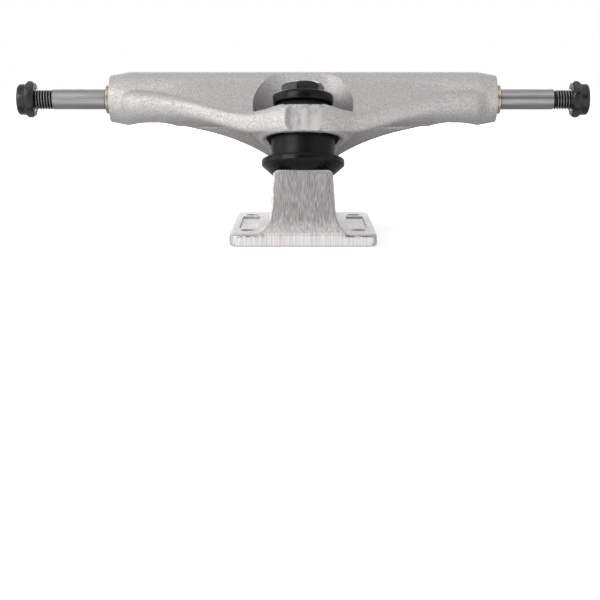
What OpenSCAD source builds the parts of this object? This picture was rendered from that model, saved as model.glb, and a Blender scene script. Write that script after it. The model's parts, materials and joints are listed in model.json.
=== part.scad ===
// Skateboard truck: baseplate, sprung hanger on a kingpin, and a through axle for two wheels.
// Origin: centre of the four deck bolts, on the face that meets the deck. X runs along the axle,
// -Y is the kingpin side, +Y is the pivot side, and +Z points away from the deck.

/* [Baseplate] */
// Width of the plate across the board
base_w = 54; // [52:0.5:60]
// Distance from the bolt centre to the kingpin-side edge
base_front = 42; // [40:0.5:48]
// Distance from the bolt centre to the pivot-side edge
base_rear = 40; // [39:0.5:46]
// Thickness of the flanges
flange_t = 4.4; // [3.6:0.1:5.2]
// Plan radius of the plate's corners
corner_r = 4; // [2:0.5:6]
// Bolt spacing across the board
bolt_x = 41.28; // [40.5:0.02:42]
// Bolt spacing along the board
bolt_y = 53.98; // [53:0.02:55]
// Diameter of the bolt holes
bolt_d = 5.4; // [5:0.1:6]
// Length of the shallow pocket on each flange
pocket_l = 38; // [30:1:42]
// Width of the shallow pocket on each flange
pocket_w = 6.5; // [4:0.5:7.5]
// Depth of the shallow pocket on each flange
pocket_depth = 0.8; // [0.4:0.1:1.2]

/* [Kingpin] */
// Kingpin diameter
kingpin_d = 9.525; // [9:0.025:9.6]
// Lean of the kingpin towards the axle, in degrees
kingpin_lean = 14; // [12:0.5:16]
// Distance of the kingpin's axis from the bolt centre, at the deck face
kingpin_foot = 29.5; // [28.5:0.25:30.5]
// Height of the kingpin tower along the kingpin
tower_h = 25.6; // [24:0.2:27]
// Width of the kingpin tower at its top
tower_top_w = 22; // [20:0.5:24]
// Width of the kingpin tower at its foot
tower_foot_w = 24.6; // [24:0.2:27]
// Size of the kingpin's head and nut across the flats
kingpin_af = 14.29; // [13.5:0.01:14.6]
// Height of the kingpin's head
kingpin_head_h = 4; // [3:0.25:6]

/* [Bushings and washers] */
// Diameter of the bottom bushing
bottom_bushing_d = 24; // [22:0.5:24]
// Height of the bottom bushing
bottom_bushing_h = 14.1; // [13:0.1:15]
// Largest diameter of the top bushing
top_bushing_d = 22.8; // [20:0.2:23]
// Height of the top bushing
top_bushing_h = 8.7; // [8:0.1:9.5]
// Diameter of the bottom cup washer
bottom_washer_d = 31; // [30:0.5:32]
// Diameter of the top cup washer
top_washer_d = 22.8; // [22.4:0.1:23.2]
// Sheet thickness of the cup washers
washer_t = 1.6; // [1.2:0.1:1.8]

/* [Hanger] */
// Width of the hanger between its two end faces
hanger_w = 149; // [139:1:159]
// Diameter of the axle tube
tube_d = 21.2; // [20.6:0.1:22]
// Height of the axle above the deck face
axle_height = 52; // [51:0.25:53.5]
// Distance of the axle behind the bolt centre
axle_back = 3; // [2:0.25:4]
// Outside diameter of the bushing ring
ring_d = 32; // [31.6:0.1:33]
// Thickness of the ring's web between the two bushings
ring_web = 4.2; // [3.6:0.1:4.8]
// Length of the web's pivot-side face, from the tube down to the nose
web_l = 28; // [27:0.25:29]
// Thickness of the triangular web
web_t = 8; // [6:0.5:9]

/* [Pivot] */
// Distance of the pivot cup's mouth behind the bolt centre
pivot_back = 22.5; // [21.5:0.25:23]
// Height of the centre of the pivot cup's mouth above the deck face
pivot_height = 12.6; // [12.2:0.1:13]
// Diameter of the pivot nose
nose_d = 12; // [11:0.25:12.5]
// Outside diameter of the pivot cup
cup_d = 16.5; // [16:0.1:16.8]

/* [Axle] */
// Axle diameter
axle_d = 7.94; // [7.8:0.02:8]
// Axle length
axle_l = 215.9; // [206:0.1:226]
// Length of thread at each end
thread_l = 11; // [9:0.5:13]
// Thread pitch of the axle and the kingpin
thread_pitch = 1.058; // [0.9:0.01:1.3]
// Size of the axle nuts across the flats
nut_af = 12.7; // [12:0.1:13.2]
// Height of the axle nuts with their crowns
nut_h = 7.8; // [7:0.1:9]
// Distance that the axle nuts reach past the axle's ends
nut_overhang = 2.7; // [1:0.1:3]
// Outside diameter of the speed rings
speed_ring_d = 11.2; // [10.5:0.1:13]
// Thickness of one speed ring
speed_ring_t = 0.85; // [0.6:0.05:1.2]

/* [Hidden] */
$fn = 96;

// Clearances
touch_gap = 0.02;
run_gap = 0.06;
bore_gap = 0.15;
cut = 1;

// Stack along the kingpin, measured from the deck face
ring_lip_bottom = 2.4;
ring_lip_top = 3.7;
shelf_drop = 1;
kingpin_end = 2;
nut_top = 10.8;
kingpin_nut_h = 8.2;
bushing_foot = tower_h + washer_t + touch_gap;
seat_bottom = bushing_foot + bottom_bushing_h + touch_gap;
seat_top = seat_bottom + ring_web;
washer_under = seat_top + touch_gap + top_bushing_h + touch_gap;
head_under = washer_under + washer_t + 2 * touch_gap;
ring_bottom = seat_bottom - ring_lip_bottom;
ring_top = seat_top + ring_lip_top;
ring_mid = (seat_bottom + seat_top) / 2;
shelf = ring_top - shelf_drop;

// Directions of the kingpin and of the steering axis, in the plane of symmetry
ring_y = ring_mid * sin(kingpin_lean) - kingpin_foot;
ring_z = ring_mid * cos(kingpin_lean);
steer_angle = atan2(ring_z - pivot_height, pivot_back - ring_y);

// Places in the kingpin's own plane: q behind its axis and s along it
function q_of(y, z) = (y + kingpin_foot) * cos(kingpin_lean) - z * sin(kingpin_lean);
function s_of(y, z) = (y + kingpin_foot) * sin(kingpin_lean) + z * cos(kingpin_lean);

// Kingpin, its head and its washers
kingpin_r = kingpin_d / 2;
kingpin_bore_r = kingpin_r + bore_gap;
head_turn = 13;
head_chamfer_h = 1.1;
head_chamfer_w = 0.9;
bushing_round = 0.6;
dish_lap = 0.7;
dish_h = 3.5;
dish_floor_h = 4.2;
dish_rim_h = 5.7;
dish_rim_t = 1.4;
dish_play = 0.3;
skirt_t = 1.2;
skirt_h = 2.2;
skirt_round = 1.1;
skirt_play = 0.6;

// Baseplate's towers and spine
tower_front = 11.2;
tower_rear = 10.6;
tower_front_draft = 0.4;
tower_rear_draft = 1.5;
tower_flow_r = 16;
tower_flow_sink = 0.05;
tower_wall_foot = 4;
tower_round = 1.2;
tower_foot_r = 4.5;
tower_foot_l = 12;
spine_inset = 1;
spine_rise = 2.6;
pivot_rim = 1.7;
pivot_wall = 1.6;
pivot_wall_foot = 3.4;
pivot_round = 1;
pivot_foot_r = 3;
pivot_ledge = 0.6;
pivot_ledge_rise = 1.6;
pivot_ledge_w = 1;
pivot_draft = 3.7;
pivot_crest_round = 1.25;
sunk = 0.2;

// Tube, slanted front face and arms of the hanger
tube_rise = 0.45;
end_drop = 1.5;
end_taper = 7;
end_chamfer = 0.7;
face_sink = 0.3;
face_foot_q = -3;
arm_inset = 7.8;
arm_knee_x = 39;
arm_knee_rise = 7.4;
arm_middle_x = 28;
arm_middle_rise = 3.3;
arm_root_x = 22;
arm_root_rise = 1.25;
arm_ring_rise = 0.5;
scoop_inset = 16;
scoop_depth = 1.45;
scoop_r = 30;
prow_angle = 31;
prow_sweep_r = 166;
prow_sink = 0.5;
tube_r = tube_d / 2;
tube_z = axle_height + tube_rise;
tube_q = q_of(axle_back, tube_z);
tube_s = s_of(axle_back, tube_z);
half_w = hanger_w / 2;
end_r = tube_r - end_drop;
arm_end = half_w - arm_inset;
face_r = tube_r - face_sink;
face_slope = atan2(tube_s - shelf, tube_q - face_foot_q)
    + asin(face_r / norm([tube_q - face_foot_q, tube_s - shelf]));

// Bushing ring, its seats and the room for a wrench over it
ring_round = 1.2;
ring_flat = 0.8;
ring_hole_r = 7.5;
seat_bottom_play = 1.6;
seat_top_play = 0.8;
seat_flare_rise = 1.7;
seat_flare_wall = 1.5;
wrench_room_play = 0.7;
wrench_room_x = 6.6;
wrench_room_sink = 0.4;
ring_r = ring_d / 2;
prow_r = ring_r - prow_sink;
prow_x = prow_r * sin(prow_angle);
prow_q = -prow_r * cos(prow_angle);
seat_bottom_r = bottom_bushing_d / 2 + seat_bottom_play;
seat_top_r = top_bushing_d / 2 + seat_top_play;
seat_flare_r = ring_r - seat_flare_wall;
wrench_room_r = top_washer_d / 2 + wrench_room_play;

// Pivot nose and cup
cup_straight = 8;
cup_depth = 12;
cup_foot_r = 5;
cup_wall = 1.2;
cup_lip = 0.6;
cup_lip_round = 0.5;
cup_foot_wall = 1.4;
nose_wall = 2.3;
nose_tip_gap = 0.5;
nose_foot_gap = 0.2;
nose_foot_wall = 1.8;
boss_gap = 1.2;
boss_round = 0.8;
boss_l = 7;
boss_tip_l = 13;
boss_tip_r = 4;
nose_r = nose_d / 2;
nose_boss_r = nose_r + nose_wall;
cup_r = cup_d / 2;

// Triangular web, from the tube down to the nose
web_top_angle = 46;
web_root = 4;
web_inset = 12.5;
web_foot_play = 0.3;
web_foot_rise = 1.5;
web_sink = 0.6;
web_recess = 1.8;
rim_w = 4.5;
rim_lift = 1.5;
hollow_foot_x = 1;
hollow_inset = 20;
hollow_drop = 1;
vee_reach = 28;
vee_run = 25;
vee_lift = 1.5;
vee_steps = 12;
web_half = half_w - web_inset;
web_y = axle_back + tube_r * cos(web_top_angle);
web_z = tube_z - tube_r * sin(web_top_angle);
web_foot_r = nose_boss_r + web_foot_play;
web_foot_y = pivot_back + web_foot_r * sin(steer_angle) - web_foot_rise * cos(steer_angle);
web_foot_z = pivot_height + web_foot_r * cos(steer_angle) + web_foot_rise * sin(steer_angle);
web_slope = atan2(web_z - web_foot_z, web_foot_y - web_y);
function vee_z(x) = web_z + vee_lift - vee_reach * exp(-x / vee_run);
function web_point(down, out) = [
    web_y + down * cos(web_slope) + out * sin(web_slope), web_z - down * sin(web_slope) + out * cos(web_slope)
];

// Axle ends and lock nuts
thread_depth = 0.6;
thread_crest = 0.16;
relief_gap = 0.06;
relief_w = 0.5;
relief_depth = 0.2;
nut_chamfer_h = 0.7;
nut_chamfer_w = 0.1;
nut_crown_h = 3.1;
nut_crown_inset = 0.3;
nut_crown_round = 1;
insert_h = 2.2;
insert_wall = 1.1;
insert_sink = 0.4;
axle_r = axle_d / 2;
nut_end = axle_l / 2 + nut_overhang;

// Turns its children so that Z runs along the kingpin, s from the deck face
module on_kingpin(s = 0) {
    translate([0, -kingpin_foot, 0]) rotate([-kingpin_lean, 0, 0]) translate([0, 0, s]) children();
}

// Turns its children so that Z runs along the steering axis, from the cup's mouth to the ring
module on_steering() {
    translate([0, pivot_back, pivot_height]) rotate([90 - steer_angle, 0, 0]) children();
}

// Extrudes a side outline (Y, Z) across X
module across(width) {
    rotate([90, 0, 90]) linear_extrude(width, center = true) children();
}

// Extrudes a front outline (X, Z) along Y, from y0 to y1
module along(y0, y1) {
    translate([0, y1, 0]) rotate([90, 0, 0]) linear_extrude(y1 - y0) children();
}

module both_sides() {
    for (side = [0, 1]) mirror([side, 0, 0]) children();
}

// Hollow between a wall at x and the flange, filled with a round
module foot_round(x, r) {
    difference() {
        translate([x - cut, flange_t - cut]) square(r + cut);
        translate([x + r, flange_t + r]) circle(r);
    }
}

module thread_grooves(r, length) {
    half = (thread_pitch - thread_crest) / 2 * (thread_depth + cut) / thread_depth;
    for (i = [0 : floor(length / thread_pitch) - 1]) translate([0, 0, (i + 0.5) * thread_pitch])
        rotate_extrude() polygon([[r - thread_depth, 0], [r + cut, -half], [r + cut, half]]);
}

// Lock nut with its load face at z = 0 and its crown above
module lock_nut(af, height, bore_r) {
    point_r = af / 2 / cos(30);
    face_r = af / 2 - nut_chamfer_w;
    crown_r = af / 2 - nut_crown_inset;
    hex_h = height - nut_crown_h;
    difference() {
        union() {
            intersection() {
                cylinder(r = point_r, h = hex_h, $fn = 6);
                rotate_extrude() polygon([
                    [0, 0], [face_r, 0], [point_r, nut_chamfer_h], [point_r, hex_h - nut_chamfer_h],
                    [face_r, hex_h], [0, hex_h]
                ]);
            }
            rotate_extrude() polygon([
                [0, hex_h - sunk], [crown_r, hex_h - sunk], [crown_r, height - nut_crown_round],
                [crown_r - nut_crown_round, height], [0, height]
            ]);
        }
        translate([0, 0, -cut]) cylinder(r = bore_r, h = height + 2 * cut);
        translate([0, 0, height - insert_h - insert_sink])
            cylinder(r = bore_r + insert_wall, h = insert_h + insert_sink + cut);
    }
}

// Nylon ring that sits in a lock nut's crown
module nut_insert(height, bore_r) {
    translate([0, 0, height - insert_h - insert_sink]) difference() {
        cylinder(r = bore_r + insert_wall, h = insert_h);
        translate([0, 0, -cut]) cylinder(r = bore_r, h = insert_h + 2 * cut);
    }
}

module plate_outline() {
    translate([-base_w / 2 + corner_r, -base_front]) square([base_w - 2 * corner_r, base_front + base_rear]);
    translate([-base_w / 2, -base_front + corner_r])
        square([base_w, base_front + base_rear - 2 * corner_r]);
    both_sides() {
        translate([base_w / 2 - corner_r, -base_front + corner_r]) circle(corner_r);
        translate([base_w / 2 - corner_r, base_rear - corner_r]) circle(corner_r);
    }
}

// Side of the kingpin tower, square to the deck bolts' row: its front flows out to the plate's edge
module tower_side() {
    below = 2 * tower_h;
    edge_q = q_of(-base_front, flange_t);
    front_foot = tower_front + tower_front_draft;
    rear_foot = tower_rear + tower_rear_draft;
    flow_reach = max(0, -front_foot - edge_q);
    flow_s = s_of(-base_front, flange_t) + sqrt(flow_reach * (2 * tower_flow_r - flow_reach));
    on_kingpin() across(base_w) difference() {
        polygon([
            [edge_q, -below], [edge_q, flow_s], [-front_foot, flow_s], [-tower_front, tower_h],
            [tower_rear - tower_round, tower_h], [tower_rear, tower_h - tower_round],
            [rear_foot, 0], [rear_foot, -below]
        ]);
        translate([tower_flow_sink - front_foot - tower_flow_r, flow_s]) circle(tower_flow_r);
    }
}

// Tower that the kingpin stands in, with a round along each foot, cut at the deck face
module kingpin_tower() {
    foot_x = tower_foot_w / 2;
    top_x = tower_top_w / 2;
    intersection() {
        tower_side();
        union() {
            on_kingpin() along(-base_front, base_front) polygon([
                [-foot_x, -tower_h], [-foot_x, tower_wall_foot], [-top_x, tower_h - tower_round],
                [-top_x + tower_round, tower_h], [top_x - tower_round, tower_h],
                [top_x, tower_h - tower_round], [foot_x, tower_wall_foot], [foot_x, -tower_h]
            ]);
            along(-base_front - cut, tower_foot_l - kingpin_foot)
                both_sides() foot_round(foot_x - sunk, tower_foot_r);
        }
        translate([-base_w / 2, -base_front, 0]) cube([base_w, base_front + base_rear, 2 * tower_h]);
    }
}

// Tower that holds the pivot cup, cut square to the steering axis at the cup's mouth
module pivot_tower() {
    rim = cup_r + pivot_rim;
    top_y = pivot_back + rim * sin(steer_angle);
    top_z = pivot_height + rim * cos(steer_angle);
    low_r = (pivot_height - flange_t) / cos(steer_angle);
    low_y = pivot_back - low_r * sin(steer_angle);
    rear_y = base_rear - pivot_ledge;
    ledge_z = flange_t + pivot_ledge_rise;
    crest_y = base_rear - pivot_draft;
    foot_x = cup_r + pivot_wall_foot;
    top_x = cup_r + pivot_wall;
    intersection() {
        across(base_w) polygon([
            [low_y, 0], [rear_y, 0], [rear_y, ledge_z], [rear_y - pivot_ledge_w, ledge_z + pivot_ledge_w],
            [crest_y, top_z - pivot_crest_round], [crest_y - pivot_crest_round, top_z],
            [top_y, top_z], [low_y, flange_t]
        ]);
        along(0, base_rear) polygon([
            [-foot_x, 0], [-foot_x, flange_t], [-top_x, top_z - pivot_round],
            [-top_x + pivot_round, top_z], [top_x - pivot_round, top_z], [top_x, top_z - pivot_round],
            [foot_x, flange_t], [foot_x, 0]
        ]);
    }
}

module cup_socket() {
    on_steering() rotate([180, 0, 0]) {
        translate([0, 0, -cut]) cylinder(r = cup_r + touch_gap, h = cup_straight + cut);
        translate([0, 0, cup_straight])
            cylinder(
                r1 = cup_r + touch_gap, r2 = cup_foot_r + touch_gap, h = cup_depth - cup_straight + touch_gap
            );
    }
}

module baseplate() {
    spine_x = tower_foot_w / 2 - spine_inset;
    spine_h = flange_t + spine_rise;
    color("silver") difference() {
        union() {
            linear_extrude(flange_t) plate_outline();
            kingpin_tower();
            pivot_tower();
            along(-kingpin_foot, pivot_back) {
                translate([-spine_x, 0]) square([2 * spine_x, spine_h]);
                both_sides() foot_round(spine_x, spine_rise);
            }
            along(pivot_back, base_rear - corner_r)
                both_sides() foot_round(cup_r + pivot_wall_foot - 2 * sunk, pivot_foot_r);
        }
        both_sides() {
            for (end = [-1, 1])
                translate([bolt_x / 2, end * bolt_y / 2, -cut]) cylinder(d = bolt_d, h = flange_t + 2 * cut);
            translate([bolt_x / 2 - pocket_w / 2, -pocket_l / 2, flange_t - pocket_depth])
                cube([pocket_w, pocket_l, pocket_depth + cut]);
        }
        on_kingpin(-tower_h) cylinder(r = kingpin_bore_r, h = 2 * tower_h + cut);
        on_kingpin(-tower_h) rotate(30) cylinder(
            r = (kingpin_af / 2 + bore_gap) / cos(30), h = tower_h + nut_top + touch_gap, $fn = 6
        );
        cup_socket();
    }
}

module pivot_cup() {
    bore_r = nose_r + run_gap;
    color("#262626") on_steering() rotate([180, 0, 0]) rotate_extrude() polygon([
        [bore_r, -cup_lip], [cup_r - cup_lip_round, -cup_lip], [cup_r, cup_lip_round - cup_lip],
        [cup_r, cup_straight], [cup_foot_r, cup_depth], [0, cup_depth], [0, cup_depth - cup_wall],
        [cup_foot_r - cup_foot_wall, cup_depth - cup_wall], [bore_r, cup_straight]
    ]);
}

module kingpin() {
    point_r = kingpin_af / 2 / cos(30);
    shank = head_under - kingpin_end + sunk;
    color("#2b2b2b") on_kingpin() {
        translate([0, 0, kingpin_end]) difference() {
            cylinder(r = kingpin_r, h = shank);
            thread_grooves(kingpin_r, nut_top);
        }
        translate([0, 0, head_under]) intersection() {
            rotate(head_turn) cylinder(r = point_r, h = kingpin_head_h, $fn = 6);
            rotate_extrude() polygon([
                [0, 0], [point_r, 0], [point_r, kingpin_head_h - head_chamfer_h],
                [kingpin_af / 2 - head_chamfer_w, kingpin_head_h], [0, kingpin_head_h]
            ]);
        }
    }
}

module in_nut_pocket() {
    on_kingpin(nut_top) rotate([180, 0, 0]) rotate(30) children();
}

module kingpin_nut() {
    color("#2b2b2b") in_nut_pocket() lock_nut(kingpin_af, kingpin_nut_h, kingpin_r + run_gap);
}

module kingpin_nut_insert() {
    color("gainsboro") in_nut_pocket() nut_insert(kingpin_nut_h, kingpin_r + run_gap);
}

module bottom_washer() {
    r = bottom_washer_d / 2;
    flat_r = bottom_bushing_d / 2 + dish_play;
    color("#303030") on_kingpin(tower_h) rotate_extrude() polygon([
        [kingpin_bore_r, 0], [flat_r - dish_lap, 0], [r, dish_h], [r, dish_rim_h],
        [r - dish_rim_t, dish_rim_h], [r - dish_rim_t, dish_floor_h], [flat_r, washer_t],
        [kingpin_bore_r, washer_t]
    ]);
}

module bottom_bushing() {
    r = bottom_bushing_d / 2;
    color("#1e1e1e") on_kingpin(bushing_foot) rotate_extrude() polygon([
        [kingpin_bore_r, 0], [r - bushing_round, 0], [r, bushing_round], [r, bottom_bushing_h - bushing_round],
        [r - bushing_round, bottom_bushing_h], [kingpin_bore_r, bottom_bushing_h]
    ]);
}

module top_bushing() {
    r = top_bushing_d / 2;
    color("#1e1e1e") on_kingpin(seat_top + touch_gap) rotate_extrude() polygon([
        [kingpin_bore_r, 0], [r - bushing_round, 0], [r, bushing_round],
        [top_washer_d / 2 - washer_t - skirt_play, top_bushing_h], [kingpin_bore_r, top_bushing_h]
    ]);
}

module top_washer() {
    r = top_washer_d / 2;
    color("#303030") on_kingpin(washer_under) rotate_extrude() polygon([
        [kingpin_bore_r, 0], [r - skirt_t, 0], [r - skirt_t, -skirt_h], [r, -skirt_h],
        [r, washer_t - skirt_round], [r - skirt_round, washer_t], [kingpin_bore_r, washer_t]
    ]);
}

// Tube along the axle, tapered and chamfered at its ends
module axle_tube() {
    translate([0, axle_back, tube_z]) rotate([0, 90, 0]) rotate_extrude() polygon([
        [0, -half_w], [end_r - end_chamfer, -half_w], [end_r, -half_w + end_chamfer],
        [tube_r, -half_w + end_taper], [tube_r, half_w - end_taper], [end_r, half_w - end_chamfer],
        [end_r - end_chamfer, half_w], [0, half_w]
    ]);
}

// Plan of the arms, square to the kingpin: two wide arcs that run from the ring out to the tube's ends
module arm_plan() {
    difference() {
        translate([-arm_end, prow_q]) square([2 * arm_end, tube_q - prow_q]);
        both_sides()
            translate([prow_x + prow_sweep_r * sin(prow_angle), prow_q - prow_sweep_r * cos(prow_angle)])
                circle(prow_sweep_r, $fn = 360);
    }
}

// Arms and slanted front face: plan, underside and side outline crossed in the kingpin's own frame
module arms() {
    top = tube_s + 2 * tube_r;
    knee = ring_bottom + arm_knee_rise;
    underside = [
        [arm_end, top], [arm_end, knee], [arm_knee_x, knee],
        [arm_middle_x, ring_bottom + arm_middle_rise], [arm_root_x, ring_bottom + arm_root_rise],
        [ring_r, ring_bottom + arm_ring_rise]
    ];
    last = len(underside) - 1;
    on_kingpin() intersection() {
        linear_extrude(top) arm_plan();
        along(-ring_d, tube_d + ring_d) polygon([
            for (side = [-1, 1], i = [0 : last]) [
                side * underside[side < 0 ? i : last - i][0], underside[side < 0 ? i : last - i][1]
            ]
        ]);
        across(hanger_w) polygon([
            [-ring_d, 0], [-ring_d, shelf], [face_foot_q, shelf],
            [tube_q - face_r * sin(face_slope), tube_s + face_r * cos(face_slope)],
            [tube_q, tube_s], [tube_q, 0]
        ]);
    }
}

// Room above the ring for the kingpin's head and a wrench on it
module wrench_room() {
    on_kingpin(shelf - wrench_room_sink) linear_extrude(2 * tube_d) {
        both_sides() translate([wrench_room_x, 0]) circle(wrench_room_r);
        translate([-wrench_room_x, -ring_d]) square([2 * wrench_room_x, ring_d + wrench_room_r]);
        translate([-wrench_room_x - wrench_room_r, -ring_d])
            square([2 * (wrench_room_x + wrench_room_r), ring_d]);
    }
}

// Slab along the web between two depths, measured out of its pivot-side face
module web_slab(inner, outer) {
    across(2 * web_half) polygon([
        web_point(-web_root, inner), web_point(web_l, inner),
        web_point(web_l, outer), web_point(-web_root, outer)
    ]);
}

// Front outline of the web: a triangle with two hollow sides, moved in and up from the web's own lower edges
module web_outline(foot_x, top_x, top_z, foot_z, inset = 0, lift = 0) {
    side = concat(
        [[top_x, top_z]],
        [
            for (i = [0 : vee_steps]) let (x = top_x + (foot_x - top_x) * i / vee_steps)
                [x, vee_z(x + inset) + lift]
        ],
        [[foot_x, foot_z]]
    );
    last = len(side) - 1;
    polygon(concat(side, [for (i = [last : -1 : 0]) [-side[i][0], side[i][1]]]));
}

module web() {
    intersection() {
        along(0, base_rear) web_outline(nose_boss_r - web_sink, web_half, tube_z, 0);
        web_slab(-web_t, 0);
    }
}

// Shallow triangle that leaves a raised rim along the web's two lower edges
module web_hollow() {
    foot_z = vee_z(rim_w);
    intersection() {
        along(0, base_rear + cut)
            web_outline(hollow_foot_x, web_half - hollow_inset, web_z - hollow_drop, foot_z, rim_w, rim_lift);
        web_slab(-web_recess, cut);
    }
}

module pivot_nose() {
    tip = cup_depth - cup_wall - nose_tip_gap;
    on_steering() rotate_extrude() polygon([
        [0, -tip], [cup_foot_r - nose_foot_wall, -tip], [nose_r, nose_foot_gap - cup_straight],
        [nose_r, boss_gap], [nose_boss_r - boss_round, boss_gap], [nose_boss_r, boss_gap + boss_round],
        [nose_boss_r, boss_l], [boss_tip_r, boss_tip_l], [0, boss_tip_l]
    ]);
}

// Ring between the bushings, with a narrow flat on its front
module bushing_ring() {
    on_kingpin() difference() {
        rotate_extrude() polygon([
            [0, ring_bottom], [ring_r - ring_round, ring_bottom], [ring_r, ring_bottom + ring_round],
            [ring_r, ring_top - ring_round], [ring_r - ring_round, ring_top], [0, ring_top]
        ]);
        translate([-ring_r, -2 * ring_r + ring_flat, 0]) cube([ring_d, ring_r, 2 * ring_top]);
    }
}

// Shallow hollow under each arm, between the tube's end and the web
module arm_scoops() {
    both_sides() translate([half_w - scoop_inset, 0, tube_z - tube_r + scoop_depth - scoop_r])
        rotate([90, 0, 0]) cylinder(r = scoop_r, h = 2 * hanger_w, center = true);
}

// Hole for the kingpin through the ring, with a seat for a bushing on each side
module ring_seats() {
    flare = seat_top + seat_flare_rise;
    on_kingpin() {
        translate([0, 0, ring_bottom - cut]) cylinder(r = ring_hole_r, h = ring_top - ring_bottom + 2 * cut);
        translate([0, 0, ring_bottom - cut]) cylinder(r = seat_bottom_r, h = seat_bottom - ring_bottom + cut);
        translate([0, 0, seat_top]) cylinder(r = seat_top_r, h = ring_top - seat_top + cut);
        translate([0, 0, flare]) cylinder(r = seat_flare_r, h = ring_top - flare + cut);
    }
}

module hanger() {
    color("silver") difference() {
        union() {
            difference() {
                union() {
                    axle_tube();
                    arms();
                }
                wrench_room();
            }
            bushing_ring();
            web();
            pivot_nose();
        }
        ring_seats();
        web_hollow();
        arm_scoops();
        translate([-hanger_w, axle_back, axle_height]) rotate([0, 90, 0])
            cylinder(r = axle_r + touch_gap, h = 2 * hanger_w);
    }
}

// Distance of a speed ring from the middle, by its place outwards from the hanger's end face
function speed_ring_x(place) = half_w + touch_gap + place * (speed_ring_t + touch_gap);

// Rod with a thread at each end and a fine relief groove where each bearing seat starts
module axle() {
    relief_x = speed_ring_x(1) + speed_ring_t + relief_gap;
    color("darkgray") translate([0, axle_back, axle_height]) rotate([0, 90, 0]) difference() {
        translate([0, 0, -axle_l / 2]) cylinder(r = axle_r, h = axle_l);
        for (side = [0, 1]) mirror([0, 0, side]) {
            translate([0, 0, axle_l / 2 - thread_l]) thread_grooves(axle_r, thread_l);
            translate([0, 0, relief_x]) difference() {
                cylinder(r = axle_r + cut, h = relief_w);
                cylinder(r = axle_r - relief_depth, h = relief_w);
            }
        }
    }
}

// Speed ring at its place, on the side -1 or 1
module speed_ring(side, place) {
    color("#b5b09c") translate([side * speed_ring_x(place), axle_back, axle_height]) rotate([0, side * 90, 0])
        difference() {
            cylinder(d = speed_ring_d, h = speed_ring_t);
            translate([0, 0, -cut]) cylinder(r = axle_r + run_gap, h = speed_ring_t + 2 * cut);
        }
}

// Places a nut on an axle end, with its load face towards the hanger
module on_axle_end(side) {
    translate([side * (nut_end - nut_h), axle_back, axle_height]) rotate([0, side * 90, 0]) children();
}

module axle_nut(side) {
    color("#2b2b2b") on_axle_end(side) lock_nut(nut_af, nut_h, axle_r + run_gap);
}

module axle_nut_insert(side) {
    color("gainsboro") on_axle_end(side) nut_insert(nut_h, axle_r + run_gap);
}

baseplate();
pivot_cup();
kingpin();
kingpin_nut();
kingpin_nut_insert();
bottom_washer();
bottom_bushing();
top_bushing();
top_washer();
hanger();
axle();
speed_ring(-1, 0);  // speed_ring_left_inner
speed_ring(-1, 1);  // speed_ring_left_outer
speed_ring(1, 0);  // speed_ring_right_inner
speed_ring(1, 1);  // speed_ring_right_outer
axle_nut(-1);  // axle_nut_left
axle_nut(1);  // axle_nut_right
axle_nut_insert(-1);  // axle_nut_insert_left
axle_nut_insert(1);  // axle_nut_insert_right
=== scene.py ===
import json
import math

import bpy
from mathutils import Matrix, Vector

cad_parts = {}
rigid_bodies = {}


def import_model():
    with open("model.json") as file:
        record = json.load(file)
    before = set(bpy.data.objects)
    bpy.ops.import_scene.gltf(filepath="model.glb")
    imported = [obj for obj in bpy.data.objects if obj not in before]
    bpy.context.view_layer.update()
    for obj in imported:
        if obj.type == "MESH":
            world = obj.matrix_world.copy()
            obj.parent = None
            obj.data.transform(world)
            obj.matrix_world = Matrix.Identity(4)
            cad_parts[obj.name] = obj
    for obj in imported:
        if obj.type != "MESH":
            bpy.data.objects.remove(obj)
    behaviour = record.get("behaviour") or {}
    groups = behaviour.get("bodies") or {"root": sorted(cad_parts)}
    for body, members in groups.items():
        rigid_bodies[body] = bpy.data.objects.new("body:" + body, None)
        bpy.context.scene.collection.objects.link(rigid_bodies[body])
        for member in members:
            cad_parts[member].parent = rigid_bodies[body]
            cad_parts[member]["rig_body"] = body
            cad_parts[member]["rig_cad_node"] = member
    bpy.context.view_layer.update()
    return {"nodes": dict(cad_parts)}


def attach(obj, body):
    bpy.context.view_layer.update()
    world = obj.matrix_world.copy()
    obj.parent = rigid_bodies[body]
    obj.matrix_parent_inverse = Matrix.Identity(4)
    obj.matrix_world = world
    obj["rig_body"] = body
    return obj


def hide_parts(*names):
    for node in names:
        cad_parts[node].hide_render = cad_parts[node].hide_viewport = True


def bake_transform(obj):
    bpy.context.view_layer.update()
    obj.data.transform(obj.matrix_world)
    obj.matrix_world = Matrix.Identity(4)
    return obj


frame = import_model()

mm = 0.001

# Baseplate
# One aluminium casting, tumbled all over. The kingpin-side face is belt-sanded. The tower's top, the pivot
# tower's rear face, the bores, the cup's seat and the nut's pocket are machined. Four bolts hold it to the
# deck.
kingpin_lean = math.radians(14)
kingpin_foot = -29.5
deck_face = 0
plate_front = -41.99
plate_half = 27
tower_half = 12.3
flange_top = 4.4
tower_top = 25.6
tower_front = 11.2
tower_front_foot = 11.6
flow_r = 16
flow_top = 8.2
flow_turn = math.radians(25.8)
stock = 0.45
bolt_x = 20.64
bolt_y = 26.99
bolt_r = 2.7
pocket_size = (7, 41, 0.8)
pocket_y = 0.5
nut_pocket_r = 8.42
nut_pocket_top = 10.82
kingpin_bore_r = 4.91
pivot_mouth = Vector((0, 22.5, 12.6)) * mm
steer_lean = math.radians(54.54)
cup_r = 8.27
cup_straight = 8
cup_depth = 12.02
cup_foot_r = 5.02


def kingpin_point(x, q, s):
    """A point in metres: x across, q behind the kingpin's axis and s along it, in millimetres."""
    y = kingpin_foot + q * math.cos(kingpin_lean) + s * math.sin(kingpin_lean)
    return Vector((x, y, s * math.cos(kingpin_lean) - q * math.sin(kingpin_lean))) * mm


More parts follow.
